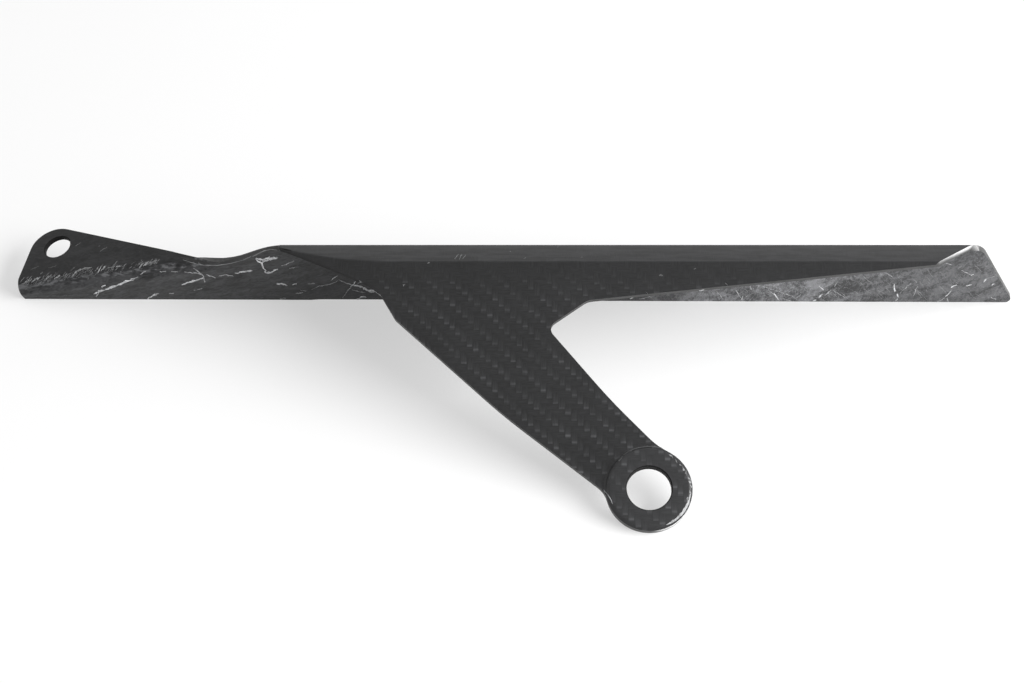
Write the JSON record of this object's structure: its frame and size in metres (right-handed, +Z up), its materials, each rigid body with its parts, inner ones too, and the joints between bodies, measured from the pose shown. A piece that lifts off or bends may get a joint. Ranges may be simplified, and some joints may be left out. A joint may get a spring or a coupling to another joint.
{
  "type": "motorcycle chain guard",
  "caption": "Thin laminate chain guard: flat outer wall with a bevelled top flange over the chain, a slanted arm ending in a raised mounting ring, and a front ear with a mounting hole.",
  "frame": {"origin": "on the axis of the arm's bore, in the plane of the outer wall's outer face", "axes": "+X to the rear of the motorcycle along the chain run, +Y inboard along the arm's bore, +Z up"},
  "size_m": [0.3508, 0.0487, 0.1231],
  "materials": {
    "laminate": "satin twill-weave carbon fibre laminate outside, rougher resin face inside, pale trimmed edges"
  },
  "bodies": {
    "root": {"chain_guard": "laminate"}
  },
  "joints": []
}
